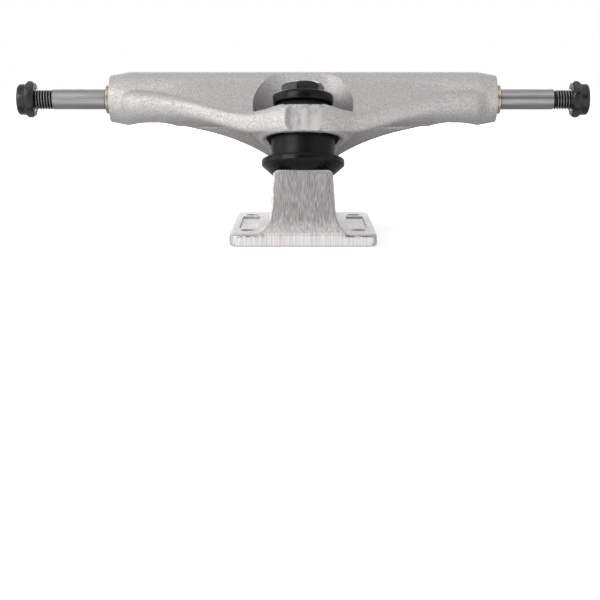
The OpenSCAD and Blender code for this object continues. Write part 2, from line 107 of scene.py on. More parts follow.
def kingpin_place(point):
    """The place q, s in millimetres of a point in metres."""
    y = point.y / mm - kingpin_foot
    z = point.z / mm
    q = y * math.cos(kingpin_lean) - z * math.sin(kingpin_lean)
    return q, y * math.sin(kingpin_lean) + z * math.cos(kingpin_lean)


def copy_of_node(node, name):
    """A CAD node's mesh, merged, as a piece of its own."""
    bpy.ops.object.select_all(action="DESELECT")
    source = frame["nodes"][node]
    piece = source.copy()
    piece.data = source.data.copy()
    piece.parent = None
    piece.name = name
    piece.data.name = name
    piece.data.materials.clear()
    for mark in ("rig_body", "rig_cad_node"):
        if mark in piece:
            del piece[mark]
    bpy.context.collection.objects.link(piece)
    bpy.context.view_layer.objects.active = piece
    piece.select_set(True)
    bpy.ops.object.mode_set(mode="EDIT")
    bpy.ops.mesh.select_all(action="SELECT")
    bpy.ops.mesh.remove_doubles(threshold=0.001 * mm)
    bpy.ops.object.mode_set(mode="OBJECT")
    return piece


def move_points(piece, test, shift):
    """Moves the points that pass the test."""
    bpy.ops.object.mode_set(mode="EDIT")
    bpy.ops.mesh.select_mode(type="VERT")
    bpy.ops.mesh.select_all(action="DESELECT")
    bpy.ops.object.mode_set(mode="OBJECT")
    for point in piece.data.vertices:
        point.select = test(point.co)
    bpy.ops.object.mode_set(mode="EDIT")
    bpy.ops.transform.translate(value=shift)
    bpy.ops.object.mode_set(mode="OBJECT")


def apply_modifier(piece, kind, **settings):
    bpy.context.view_layer.objects.active = piece
    modifier = piece.modifiers.new(kind.lower(), kind)
    for name, value in settings.items():
        setattr(modifier, name, value)
    bpy.ops.object.modifier_apply(modifier=modifier.name)


def cut(piece, tool, operation="DIFFERENCE"):
    """Cuts a piece with a tool, or joins them, and takes the tool away."""
    apply_modifier(piece, "BOOLEAN", object=tool, operation=operation, solver="MANIFOLD")
    bpy.data.objects.remove(tool)


def drawn(name, points):
    """A new object with one line of edges through points in metres."""
    bpy.ops.object.select_all(action="DESELECT")
    bpy.ops.mesh.primitive_plane_add(size=mm)
    piece = bpy.context.object
    piece.name = name
    piece.data.name = name
    bpy.ops.object.mode_set(mode="EDIT")
    bpy.ops.mesh.select_all(action="SELECT")
    bpy.ops.mesh.merge(type="CENTER")
    bpy.ops.transform.translate(value=points[0])
    for start, end in zip(points, points[1:]):
        bpy.ops.mesh.extrude_vertices_move(TRANSFORM_OT_translate={"value": end - start})
    return piece


def slab(name, outline, half_width):
    """A solid with a side outline, from -half_width to half_width across."""
    points = [Vector((-half_width * mm, p.y, p.z)) for p in outline]
    piece = drawn(name, points)
    bpy.ops.mesh.select_all(action="SELECT")
    bpy.ops.mesh.edge_face_add()
    bpy.ops.mesh.extrude_region_move(TRANSFORM_OT_translate={"value": (2 * half_width * mm, 0, 0)})
    bpy.ops.mesh.select_all(action="SELECT")
    bpy.ops.mesh.normals_make_consistent(inside=False)
    bpy.ops.object.mode_set(mode="OBJECT")
    return piece


def box(name, low, high, turn=0, origin=(0, 0, 0)):
    """A box between two corners in millimetres, turned about X and moved to an origin in metres."""
    bpy.ops.object.select_all(action="DESELECT")
    middle = (Vector(low) + Vector(high)) / 2 * mm
    bpy.ops.mesh.primitive_cube_add(size=mm, scale=Vector(high) - Vector(low))
    piece = bpy.context.object
    piece.name = name
    piece.location = Vector(origin) + Matrix.Rotation(turn, 3, "X") @ middle
    piece.rotation_euler = (turn, 0, 0)
    bpy.ops.object.transform_apply()
    return piece


def rod(name, r, start, end, sides=64):
    """A plain rod between two points in metres."""
    bpy.ops.object.select_all(action="DESELECT")
    along = Vector(end) - Vector(start)
    bpy.ops.mesh.primitive_cylinder_add(
        vertices=sides, radius=r * mm, depth=along.length, location=(Vector(start) + Vector(end)) / 2,
        rotation=along.to_track_quat("Z", "Y").to_euler()
    )
    piece = bpy.context.object
    piece.name = name
    bpy.ops.object.transform_apply()
    return piece


def lofted(name, sections):
    """A closed solid through sections with the same number of points."""
    count = len(sections[0])
    points = [tuple(p) for section in sections for p in section]
    faces = []
    for row in range(len(sections) - 1):
        for i in range(count):
            a = row * count + i
            b = row * count + (i + 1) % count
            faces.append((a, b, b + count, a + count))
    faces.append(tuple(range(count)))
    faces.append(tuple(range(len(points) - 1, len(points) - 1 - count, -1)))
    mesh = bpy.data.meshes.new(name)
    mesh.from_pydata(points, [], faces)
    piece = bpy.data.objects.new(name, mesh)
    bpy.context.collection.objects.link(piece)
    bpy.ops.object.select_all(action="DESELECT")
    bpy.context.view_layer.objects.active = piece
    piece.select_set(True)
    bpy.ops.object.mode_set(mode="EDIT")
    bpy.ops.mesh.select_all(action="SELECT")
    bpy.ops.mesh.normals_make_consistent(inside=False)
    bpy.ops.object.mode_set(mode="OBJECT")
    return piece


def join(piece, *others):
    """Joins loose shells to a piece, for the remesh to melt together."""
    bpy.ops.object.select_all(action="DESELECT")
    for other in others:
        other.select_set(True)
    piece.select_set(True)
    bpy.context.view_layer.objects.active = piece
    bpy.ops.object.join()


def arc(x, z, r, start, end, steps=6):
    """Points of an outline on an arc, from one angle to another in degrees."""
    angles = [math.radians(start + (end - start) * i / steps) for i in range(steps + 1)]
    return [(x + r * math.cos(a), z + r * math.sin(a)) for a in angles]


def turned(name, outline, origin, turn, sides=96):
    """A piece turned on a lathe, from an outline of radius and height in millimetres, on a turned axis."""
    points = [Vector((r, 0, z)) * mm for r, z in outline]
    if outline[0][0] > 0:
        points.append(points[0])
    piece = drawn(name, points)
    bpy.ops.mesh.select_all(action="SELECT")
    bpy.ops.mesh.spin(steps=sides, angle=2 * math.pi, center=(0, 0, 0), axis=(0, 0, 1))
    bpy.ops.mesh.select_all(action="SELECT")
    bpy.ops.mesh.remove_doubles(threshold=0.001 * mm)
    bpy.ops.mesh.normals_make_consistent(inside=False)
    bpy.ops.object.mode_set(mode="OBJECT")
    set_down(piece, origin, turn)
    return piece


def set_down(piece, origin, turn):
    """Puts a piece in its place, with the place in its mesh."""
    bpy.ops.object.select_all(action="DESELECT")
    piece.select_set(True)
    bpy.context.view_layer.objects.active = piece
    piece.location = origin
    piece.rotation_euler = turn
    bpy.ops.object.transform_apply()
    bpy.ops.object.shade_smooth_by_angle(angle=math.radians(35))


# The raw casting, with stock on the front and on the pivot tower's rear face, and no holes
baseplate = copy_of_node("baseplate", "baseplate_casting")
plugs = [
    rod("plug", bolt_r + 0.1, Vector((x, y, deck_face)) * mm, Vector((x, y, flange_top)) * mm)
    for x in (-bolt_x, bolt_x) for y in (-bolt_y, bolt_y)
]
for side in (-bolt_x, bolt_x):
    half_x, half_y, depth = pocket_size[0] / 2, pocket_size[1] / 2, pocket_size[2]
    plugs.append(box("plug", (side - half_x, pocket_y - half_y, flange_top - 2 * depth),
                     (side + half_x, pocket_y + half_y, flange_top)))
plugs.append(rod("plug", kingpin_bore_r + 0.1, kingpin_point(0, 0, 1), kingpin_point(0, 0, tower_top)))
plugs.append(rod("plug", nut_pocket_r + 0.2, kingpin_point(0, 0, 2),
                 kingpin_point(0, 0, nut_pocket_top + 1)))
fillet_x = 5.5
fillet_z = 7
for side in (-1, 1):
    inside = side * (tower_half - 2)
    foot = [Vector((inside, 0, flange_top - 1)), Vector((inside, 0, flange_top + fillet_z))]
    for step in range(9):
        turn = math.pi / 2 * step / 8
        foot.append(Vector((side * (tower_half + fillet_x * (1 - math.cos(turn))), 0,
                            flange_top + fillet_z * (1 - math.sin(turn)))))
    foot.append(Vector((side * (tower_half + fillet_x), 0, flange_top - 1)))
    plugs.append(lofted("foot", [[(p + Vector((0, y, 0))) * mm for p in foot] for y in (-41, -33)]))
join(baseplate, *plugs)
move_points(baseplate, lambda p: kingpin_place(p)[0] < -11 or p.y < -38.5 * mm, (0, -stock * mm, 0))
move_points(baseplate, lambda p: p.y > 35.5 * mm and p.z > 6.8 * mm, (0, stock * mm, 0))
apply_modifier(baseplate, "REMESH", mode="VOXEL", voxel_size=0.45 * mm)
apply_modifier(baseplate, "SMOOTH", factor=0.5, iterations=10)

# Sanding, machining and drilling
flow_centre_q = -tower_front_foot - flow_r
front = [kingpin_point(0, -tower_front, tower_top + 2 * stock)]
for step in range(9):
    turn = flow_turn * step / 8
    q = flow_centre_q + flow_r * math.cos(turn)
    front.append(kingpin_point(0, q, flow_top - flow_r * math.sin(turn)))
front.append(Vector((0, plate_front, -stock)) * mm)
front.append(Vector((0, 2 * plate_front, -stock)) * mm)
front.append(Vector((0, 2 * plate_front, 2 * tower_top)) * mm)
cut(baseplate, slab("sanding", front, 2 * plate_half))
apply_modifier(baseplate, "REMESH", mode="VOXEL", voxel_size=0.4 * mm)
apply_modifier(baseplate, "SMOOTH", factor=0.5, iterations=3)
cut(baseplate, box("facing", (-20, -20, tower_top), (20, 20, 2 * tower_top), -kingpin_lean,
                   kingpin_point(0, 0, 0)))
cut(baseplate, slab("pivot_face", [
    Vector((0, y, z)) * mm for y, z in ((38.4, 7), (36.2, 22), (50, 22), (50, 7))
], plate_half))
cut(baseplate, box("deck_cut", (-40, -60, -20), (40, 60, deck_face)))
for side in (-bolt_x, bolt_x):
    for end in (-bolt_y, bolt_y):
        cut(baseplate, rod("drill", bolt_r, Vector((side, end, -5)) * mm, Vector((side, end, 15)) * mm))
    pocket = box("pocket", (side - half_x, pocket_y - half_y, flange_top - depth),
                 (side + half_x, pocket_y + half_y, flange_top + 3))
    apply_modifier(pocket, "BEVEL", width=0.6 * mm, segments=3)
    cut(baseplate, pocket)
cut(baseplate, rod("bore", kingpin_bore_r, kingpin_point(0, 0, -10), kingpin_point(0, 0, 40)))
into_cup = (steer_lean + math.pi, 0, 0)
cut(baseplate, turned("cup_seat", [
    (0, -1), (cup_r, -1), (cup_r, cup_straight), (cup_foot_r, cup_depth), (0, cup_depth)
], pivot_mouth, into_cup))
cut(baseplate, rod("nut_pocket", nut_pocket_r, kingpin_point(0, 0, -10),
                   kingpin_point(0, 0, nut_pocket_top), 6))
bpy.context.view_layer.objects.active = baseplate
baseplate.select_set(True)
bpy.ops.object.shade_smooth_by_angle(angle=math.radians(35))


def new_material(name, color, metallic, roughness, gloss=0.5):
    material = bpy.data.materials.new(name)
    material.use_nodes = True
    shader = material.node_tree.nodes["Principled BSDF"]
    shader.inputs["Base Color"].default_value = (*color, 1)
    shader.inputs["Metallic"].default_value = metallic
    shader.inputs["Roughness"].default_value = roughness
    shader.inputs["Specular IOR Level"].default_value = gloss
    return material


def grain(material, scale, stretch=(1, 1, 1), detail=3):
    """Noise in the piece's own coordinates, scale in grains per metre."""
    nodes = material.node_tree.nodes
    links = material.node_tree.links
    place = nodes.new("ShaderNodeTexCoord")
    mapping = nodes.new("ShaderNodeMapping")
    mapping.inputs["Scale"].default_value = stretch
    noise = nodes.new("ShaderNodeTexNoise")
    noise.inputs["Scale"].default_value = scale
    noise.inputs["Detail"].default_value = detail
    links.new(place.outputs["Object"], mapping.inputs["Vector"])
    links.new(mapping.outputs["Vector"], noise.inputs["Vector"])
    return noise.outputs["Fac"]


def spread(material, source, low, high, start=0.3, end=0.7):
    """Spreads a noise between two colours or two grey levels."""
    ramp = material.node_tree.nodes.new("ShaderNodeValToRGB")
    for stop, place, value in zip(ramp.color_ramp.elements, (start, end), (low, high)):
        stop.position = place
        stop.color = (*value, 1) if isinstance(value, tuple) else (value, value, value, 1)
    material.node_tree.links.new(source, ramp.inputs["Fac"])
    return ramp.outputs["Color"]


def to_shader(material, source, socket):
    shader = material.node_tree.nodes["Principled BSDF"]
    material.node_tree.links.new(source, shader.inputs[socket])


def roughen(material, source, height, strength=1.0):
    """Raises a noise as bump, height in millimetres."""
    bump = material.node_tree.nodes.new("ShaderNodeBump")
    bump.inputs["Strength"].default_value = strength
    bump.inputs["Distance"].default_value = height * mm
    material.node_tree.links.new(source, bump.inputs["Height"])
    to_shader(material, bump.outputs["Normal"], "Normal")


cast_aluminium = new_material("cast_aluminium", (0.46, 0.444, 0.444), 0.75, 0.66)
cast_grain = grain(cast_aluminium, 1900, detail=2)
cast_color = spread(cast_aluminium, cast_grain, (0.385, 0.372, 0.372), (0.57, 0.55, 0.55))
to_shader(cast_aluminium, cast_color, "Base Color")
to_shader(cast_aluminium, spread(cast_aluminium, cast_grain, 0.74, 0.58), "Roughness")
roughen(cast_aluminium, cast_grain, 0.05, 0.5)

rough_cast = new_material("rough_cast", (0.4, 0.394, 0.388), 0.75, 0.62)
rough_grain = grain(rough_cast, 1500, detail=5)
rough_color = spread(rough_cast, rough_grain, (0.25, 0.244, 0.242), (0.5, 0.49, 0.485), 0.35, 0.6)
to_shader(rough_cast, rough_color, "Base Color")
roughen(rough_cast, rough_grain, 0.2, 0.8)

sanded_aluminium = new_material("sanded_aluminium", (0.38, 0.375, 0.37), 1.0, 0.42)
sanding_lines = grain(sanded_aluminium, 4200, (1, 0.3, 0.015), 3)


def combined(material, first, second, operation="MULTIPLY"):
    """Two levels worked together; the second may be a plain number."""
    math_node = material.node_tree.nodes.new("ShaderNodeMath")
    math_node.operation = operation
    material.node_tree.links.new(first, math_node.inputs[0])
    if isinstance(second, (int, float)):
        math_node.inputs[1].default_value = second
    else:
        material.node_tree.links.new(second, math_node.inputs[1])
    return math_node.outputs[0]


def band_level(material, axis, start, end, unsigned=False):
    """A level that goes from 0 to 1 between two places in millimetres on one of the piece's own axes."""
    tree = material.node_tree
    place = tree.nodes.new("ShaderNodeTexCoord")
    split = tree.nodes.new("ShaderNodeSeparateXYZ")
    level = tree.nodes.new("ShaderNodeMapRange")
    level.inputs["From Min"].default_value = start * mm
    level.inputs["From Max"].default_value = end * mm
    tree.links.new(place.outputs["Object"], split.inputs["Vector"])
    source = split.outputs[axis]
    if unsigned:
        source = combined(material, source, 0, "ABSOLUTE")
    tree.links.new(source, level.inputs["Value"])
    return level.outputs["Result"]


def shaded(material, color, dark):
    """A colour made darker where a level is high."""
    scale = material.node_tree.nodes.new("ShaderNodeVectorMath")
    scale.operation = "SCALE"
    light = combined(material, combined(material, dark, -1), 1, "ADD")
    material.node_tree.links.new(color, scale.inputs[0])
    material.node_tree.links.new(light, scale.inputs["Scale"])
    return scale.outputs["Vector"]


# Some dark casting skin is left along each flange's front edge. The plate's front face carries a painted
# highlight: the sanded faces above that edge are painted a third darker, as shade
sanded_color = spread(sanded_aluminium, sanding_lines, (0.343, 0.331, 0.331), (0.76, 0.734, 0.734))
skin_left = combined(sanded_aluminium, band_level(sanded_aluminium, "X", 13.5, 16, True),
                     band_level(sanded_aluminium, "Z", 3.1, 3.9))
skin_patches = spread(sanded_aluminium, grain(sanded_aluminium, 700, detail=4), 0.1, 0.85, 0.4, 0.55)
skin_left = combined(sanded_aluminium, skin_left, skin_patches)
# Painted shade on the tower's sanded face, so the plate's front face shows as a painted highlight
shade_behind_painted_highlight = combined(sanded_aluminium, band_level(sanded_aluminium, "Y", -41.9, -41.2), 0.33)
skin_and_painted_shade = combined(sanded_aluminium, skin_left, shade_behind_painted_highlight, "MAXIMUM")
to_shader(sanded_aluminium, shaded(sanded_aluminium, sanded_color, skin_and_painted_shade), "Base Color")
to_shader(sanded_aluminium, spread(sanded_aluminium, sanding_lines, 0.38, 0.45), "Roughness")
roughen(sanded_aluminium, sanding_lines, 0.06, 0.6)

# Ring facet: worn metal, with painted shade on its left and a painted highlight towards its middle
worn_and_shaded_aluminium = new_material("worn_and_shaded_aluminium", (0.4, 0.386, 0.386), 0.75, 0.62)
wear_and_painted_shade = combined(worn_and_shaded_aluminium, grain(worn_and_shaded_aluminium, 400, (1, 1, 0.5), 4),
                combined(worn_and_shaded_aluminium, band_level(worn_and_shaded_aluminium, "X", -4.5, 0.5), 0.25), "ADD")
wear_and_shade_color = spread(worn_and_shaded_aluminium, wear_and_painted_shade, (0.24, 0.232, 0.232), (0.5, 0.483, 0.483), 0.4, 0.75)
to_shader(worn_and_shaded_aluminium, wear_and_shade_color, "Base Color")
roughen(worn_and_shaded_aluminium, grain(worn_and_shaded_aluminium, 1200, detail=3), 0.08, 0.6)


def finish_with(piece, material):
    piece.data.materials.clear()
    piece.data.materials.append(material)


def finish_faces(piece, material, test):
    """Gives the faces that pass the test another finish."""
    piece.data.materials.append(material)
    place = len(piece.data.materials) - 1
    for face in piece.data.polygons:
        if test(face):
            face.material_index = place


finish_with(baseplate, cast_aluminium)
finish_faces(baseplate, sanded_aluminium, lambda f: f.normal.y < -0.8 and (
    f.center.y < -41.7 * mm or kingpin_place(f.center)[0] < 0.3 - tower_front))
finish_faces(baseplate, rough_cast, lambda f: f.normal.y > 0.7 and f.center.y > 39.3 * mm)
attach(baseplate, "base")
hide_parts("baseplate")

# Pivot cup
# A moulded black plastic socket, pressed into the baseplate's pivot tower. The hanger's nose turns in it.
cup_bore = 6.06
cup_outside = 8.25
cup_lip = 0.6
cup_lead = 0.8
cup_floor = 10.8
pivot_cup = turned("pivot_cup_moulding", [
    (cup_bore + cup_lead, -cup_lip), *arc(cup_outside - 0.5, 0.5 - cup_lip, 0.5, -90, 0, 4),
    (cup_outside, cup_straight), (5, 12), (0, 12), (0, cup_floor), (3.6, cup_floor),
    (cup_bore, cup_straight), (cup_bore, cup_lead)
], pivot_mouth, into_cup)
black_plastic = new_material("black_plastic", (0.03, 0.03, 0.032), 0.0, 0.5)
plastic_grain = grain(black_plastic, 1500)
plastic_color = spread(black_plastic, plastic_grain, (0.022, 0.022, 0.023), (0.042, 0.042, 0.044))
to_shader(black_plastic, plastic_color, "Base Color")
roughen(black_plastic, plastic_grain, 0.03, 0.4)
finish_with(pivot_cup, black_plastic)
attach(pivot_cup, "base")
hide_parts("pivot_cup")

# Kingpin nut and its insert
# A black oxide lock nut with a nylon ring in its crown. It sits in the hexagon pocket on the deck side.
kingpin_nut_h = 8.2
kingpin_flats = 14.29
kingpin_nut_bore = 4.82
kingpin_nut_seat = kingpin_point(0, 0, 10.8)
insert_h = 2.2
insert_wall = 1.1
insert_sink = 0.4
crown_h = 3.1
crown_round = 1.2
corner_trim = 0.3
chamfer_h = 1.1
along_kingpin = (-kingpin_lean, 0, 0)
up_into_pocket = (math.pi - kingpin_lean, 0, 0)


def ease_edges(piece, width):
    """Eases the sharp edges of a hexagon by a width in millimetres."""
    apply_modifier(piece, "BEVEL", width=width * mm, segments=2, limit_method="ANGLE",
                   angle_limit=math.radians(28))


def lock_nut(name, flats, height, bore, origin, turn, quarter):
    """Hexagon with chamfered corners and a round crown. The hexagon is turned by quarter, in degrees."""
    corner = flats / 2 / math.cos(math.radians(30))
    face_r = flats / 2 - 0.1
    crown_r = flats / 2 - 0.3
    hex_h = height - crown_h
    seat = bore + insert_wall
    seat_z = height - insert_h - insert_sink
    chamfers = turned("chamfers", [
        (bore, 0.4), (bore + 0.4, 0), (face_r, 0), (corner - corner_trim, chamfer_h),
        (corner - corner_trim, hex_h - chamfer_h), (face_r, hex_h), (crown_r, hex_h + 0.1),
        (crown_r, height - crown_round),
        *arc(crown_r - crown_round, height - crown_round, crown_round, 0, 80),
        (seat, height), (seat, seat_z), (bore, seat_z)
    ], (0, 0, 0), (0, 0, 0))
    nut = rod(name, corner, (0, 0, -1 * mm), (0, 0, (height + 1) * mm), 6)
    cut(nut, chamfers, "INTERSECT")
    ease_edges(nut, 0.14)
    nut.rotation_euler = (0, 0, math.radians(quarter))
    bpy.ops.object.transform_apply()
    set_down(nut, origin, turn)
    return nut


def nylon_ring(name, height, bore, origin, turn):
    """The ring in a lock nut's crown, a hair clear of its seat."""
    wall = bore + insert_wall - 0.02
    low = height - insert_h - insert_sink + 0.02
    high = height - insert_sink
    return turned(name, [
        (bore + 0.3, low), (wall, low), (wall, high), *arc(bore + 0.45, high - 0.45, 0.45, 90, 180, 4),
        (bore, low + 0.3)
    ], origin, turn)


kingpin_nut = lock_nut("kingpin_lock_nut", kingpin_flats, kingpin_nut_h, kingpin_nut_bore, kingpin_nut_seat,
                       up_into_pocket, 0)
kingpin_nut_ring = nylon_ring("kingpin_nut_ring", kingpin_nut_h, kingpin_nut_bore, kingpin_nut_seat,
                              up_into_pocket)
black_oxide = new_material("black_oxide", (0.006, 0.006, 0.0065), 0.0, 0.3, 0.4)
oxide_grain = grain(black_oxide, 1200, detail=4)
oxide_color = spread(black_oxide, oxide_grain, (0.003, 0.003, 0.0032), (0.008, 0.008, 0.0085))
to_shader(black_oxide, oxide_color, "Base Color")
to_shader(black_oxide, spread(black_oxide, oxide_grain, 0.36, 0.22), "Roughness")
roughen(black_oxide, oxide_grain, 0.03, 0.4)
nylon = new_material("nylon", (0.7, 0.7, 0.67), 0.0, 0.45)
nylon_cloud = grain(nylon, 500)
to_shader(nylon, spread(nylon, nylon_cloud, (0.62, 0.62, 0.59), (0.76, 0.76, 0.73)), "Base Color")
finish_with(kingpin_nut, black_oxide)
finish_with(kingpin_nut_ring, nylon)
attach(kingpin_nut, "base")
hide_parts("kingpin_nut")
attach(kingpin_nut_ring, "base")
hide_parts("kingpin_nut_insert")

# Bottom washer
# A large cup washer, pressed from sheet steel and blackened. It lies on the tower with its rim up.
washer_bore = 4.91
washer_t = 1.6
bottom_washer = turned("bottom_cup_washer", [
    (washer_bore, 0.15), (5.1, 0), (11.3, 0), (11.9, 0.12), (15.2, 3.05), *arc(14.7, 3.6, 0.8, -30, 0, 3),
    *arc(14.8, 5.0, 0.7, 0, 180, 8), (14.1, 4.2), (12.9, 2.1), (12.3, washer_t), (5.1, washer_t),
    (washer_bore, washer_t - 0.15)
], kingpin_point(0, 0, tower_top), along_kingpin)
black_washer = new_material("black_washer", (0.006, 0.006, 0.0065), 0.0, 0.3, 0.14)
washer_grain = grain(black_washer, 1500, detail=4)
washer_color = spread(black_washer, washer_grain, (0.003, 0.003, 0.0032), (0.008, 0.008, 0.0085))
to_shader(black_washer, washer_color, "Base Color")
to_shader(black_washer, spread(black_washer, washer_grain, 0.34, 0.22), "Roughness")
roughen(black_washer, washer_grain, 0.03, 0.4)
finish_with(bottom_washer, black_washer)
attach(bottom_washer, "base")
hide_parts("bottom_washer")

# Bottom bushing
# A barrel of black urethane, cast in a mould. It stands in the bottom washer and carries the hanger's ring.
bushing_bore = 4.91
bottom_bushing_foot = 27.22
bottom_bushing_h = 14.1
bore_room = 1.85


def barrel(r, height, belly, round_r, steps=10):
    """The outside of a bushing from foot to top, with a slight belly."""
    side = []
    for i in range(steps + 1):
        t = i / steps
        side.append((r - belly * (2 * t - 1) ** 2, round_r + (height - 2 * round_r) * t))
    low = [(x - belly, z) for x, z in arc(r - round_r, round_r, round_r, -90, -18, 4)]
    high = [(x - belly, z) for x, z in arc(r - round_r, height - round_r, round_r, 18, 90, 4)]
    return low + side + high


bottom_bushing = turned("bottom_urethane_bushing", [
    (bushing_bore + 0.1, 0), *barrel(12, bottom_bushing_h, 0.12, 0.8),
    *[(bushing_bore + bore_room * min(1, i / 4), bottom_bushing_h * i / 12) for i in range(12, 0, -1)]
], kingpin_point(0, 0, bottom_bushing_foot), along_kingpin)
urethane = new_material("urethane", (0.005, 0.005, 0.0053), 0.0, 0.36, 0.14)
urethane_cloud = grain(urethane, 400)
urethane_color = spread(urethane, urethane_cloud, (0.003, 0.003, 0.0032), (0.007, 0.007, 0.0073))
to_shader(urethane, urethane_color, "Base Color")
to_shader(urethane, spread(urethane, urethane_cloud, 0.42, 0.3), "Roughness")
roughen(urethane, grain(urethane, 2500), 0.02, 0.4)
finish_with(bottom_bushing, urethane)
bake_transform(bottom_bushing)
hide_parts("bottom_bushing")

# Hanger
# One aluminium casting: the axle tube, two arms that sweep to a ring between the bushings, a triangular web
# on the pivot side, and the nose that turns in the pivot cup. The axle is cast in.
axle_y = 3
axle_z = 52
axle_bore = 3.99
hanger_half = 74.5
tube_r = 10.35
tube_z = 52.2
tube_drop = 0.5
arm_start = 7
arm_end = 72

# Measures of the arm along the axle, in millimetres: where the slanted face meets the arm, the middle and
# radius of its rounded front, and its lowest place
arm_measures = (
    (3, -20.7, 47.5, -29.1, 46.5, 4.9, -28.8, 41.65),
    (7, -20.7, 47.5, -29.0, 46.4, 4.9, -28.7, 41.6),
    (12, -20.7, 47.5, -26.5, 45.25, 4.55, -26.1, 40.7),
    (16, -20.7, 47.5, -23.85, 44.5, 4.17, -23.5, 40.33),
    (20, -20.7, 47.5, -21.5, 44.0, 3.83, -21.2, 40.17),
    (24, -20.6, 47.6, -19.9, 44.45, 3.6, -19.6, 40.85),
    (28, -19.8, 48.3, -18.2, 45.2, 3.4, -17.8, 41.8),
    (35, -16.9, 50.4, -16.0, 46.9, 3.3, -15.5, 43.6),
    (43, -13.2, 52.3, -12.9, 48.9, 3.4, -11.5, 44.6),
    (50, -9.4, 53.7, -10.6, 50.2, 3.7, -7.5, 44.0),
    (55, -7.6, 54.6, -9.0, 51.0, 3.85, -5.0, 43.5),
    (60, -7.2, 55.1, -8.0, 51.3, 3.9, -2.5, 42.8),
    (66, -7.1, 55.3, -6.6, 51.4, 3.9, 0.0, 42.3),
    (71, -6.6, 55.3, -3.2, 51.4, 3.2, 1.5, 43.0),
    (76, -6.0, 55.2, -1.2, 51.4, 3.0, 2.0, 44.0),
)


def faded(inside, width):
    """A level that rises from 0 to 1 over a width."""
    return min(1, max(0, inside / width))


def measured(x):
    """The arm's measures at x, on a smooth curve through the table."""
    row = 1
    while row < len(arm_measures) - 3 and arm_measures[row + 1][0] < x:
        row += 1
    before, first, second, after = arm_measures[row - 1:row + 3]
    span = second[0] - first[0]
    t = (x - first[0]) / span
    values = []
    for a, b, c, d in zip(before[1:], first[1:], second[1:], after[1:]):
        slope_in = (c - a) / (second[0] - before[0]) * span
        slope_out = (d - b) / (after[0] - first[0]) * span
        values.append((2 * t**3 - 3 * t**2 + 1) * b + (t**3 - 2 * t**2 + t) * slope_in
                      + (3 * t**2 - 2 * t**3) * c + (t**3 - t**2) * slope_out)
    return values


def tube_tangent(y, z):
    """Where a line from a point in front of the tube touches its top."""
    reach = tube_r - 0.3
    away = Vector((y - axle_y, z - tube_z))
    if away.length <= reach:
        return y, z
    turn = math.atan2(away.y, away.x) - math.acos(reach / away.length)
    return axle_y + reach * math.cos(turn), tube_z + reach * math.sin(turn)


def arm_section(x):
    """The arm cut across at x: slanted face, rounded front, underside, then closed inside the tube. Near the
    ring the front is flatter and leans back with the kingpin."""
    face_y, face_z, y, z, r, low_y, low_z = measured(x)
    top_y, top_z = tube_tangent(face_y, face_z)
    section = [(top_y + (face_y - top_y) * i / 6, top_z + (face_z - top_z) * i / 6) for i in range(7)]
    power = 1 / (1 + 0.8 * faded(50 - x, 18))
    lean = math.tan(kingpin_lean) * faded(24 - x, 14)
    first_turn = math.asin(min(0.95, max(0, (y - face_y) / r)))
    band = []
    for step in range(10):
        turn = first_turn + (math.pi / 2 - first_turn) * step / 10
        band.append((y - r * math.sin(turn)**power, z + r * math.cos(turn)**power))
    for step in range(11):
        turn = math.pi / 2 * step / 10
        band_y = low_y + (y - r - low_y) * math.cos(turn)**power
        band.append((band_y, z + (low_z - z) * math.sin(turn)**power))
    section += [(band_y + (band_z - z) * lean, band_z) for band_y, band_z in band]
    section += [(2.5, 43.2), (axle_y, tube_z)]
    return [Vector((x, y, z)) * mm for y, z in section]


# The web, the nose and the middle as built, its top a little lower, joined to arms, tube, ring and yoke
hanger = copy_of_node("hanger", "hanger_casting")
move_points(hanger, lambda p: p.z > 56 * mm, (0, 0, -tube_drop * mm))
join(hanger, rod("plug", axle_bore + 0.1, Vector((-hanger_half, axle_y, axle_z)) * mm,
                 Vector((hanger_half, axle_y, axle_z)) * mm))
apply_modifier(hanger, "REMESH", mode="VOXEL", voxel_size=0.5 * mm)
kept_half = 13
for low, high in ((-80, -kept_half), (kept_half, 80)):
    cut(hanger, box("arm_room", (low, -60, 0), (high, 2.5, 80)))
arms = []
for side in (-1, 1):
    sections = [arm_section(arm_start + (arm_end - arm_start) * i / 32) for i in range(33)]
    arms.append(lofted("arm", [[Vector((side * p.x, p.y, p.z)) for p in section] for section in sections]))
end_stock = 1.2
tube_outline = [
    (tube_r - 1.9, hanger_half + end_stock), (tube_r - 1.35, hanger_half), (tube_r - 0.7, hanger_half - 3.5),
    (tube_r - 0.2, hanger_half - 6), (tube_r, hanger_half - 9)
]
tube = turned("tube", [
    (0, -hanger_half - end_stock), *[(r, -x) for r, x in tube_outline], *reversed(tube_outline),
    (0, hanger_half + end_stock)
], Vector((0, axle_y, tube_z)) * mm, (0, math.pi / 2, 0))
ring_bore = 7.5
ring_r = 16
ring_low = 38.94
ring_high = 49
ring_front = 15.7
ring_flat = 6.4
seat_r = 13.6
seat_low = 41.34
top_seat_r = 12.2
top_seat = 45.54
rim_r = 14.5
ring = turned("ring", [
    (ring_bore, seat_low), (seat_r, seat_low), (seat_r, ring_low), (ring_r, ring_low), (ring_r, ring_high),
    (rim_r, ring_high), (top_seat_r, 47.24), (top_seat_r, top_seat), (ring_bore, top_seat)
], kingpin_point(0, 0, 0), along_kingpin)
flat = box("flat", (-ring_flat, -ring_front, ring_low), (ring_flat, -10, ring_high), -kingpin_lean,
           kingpin_point(0, 0, 0))

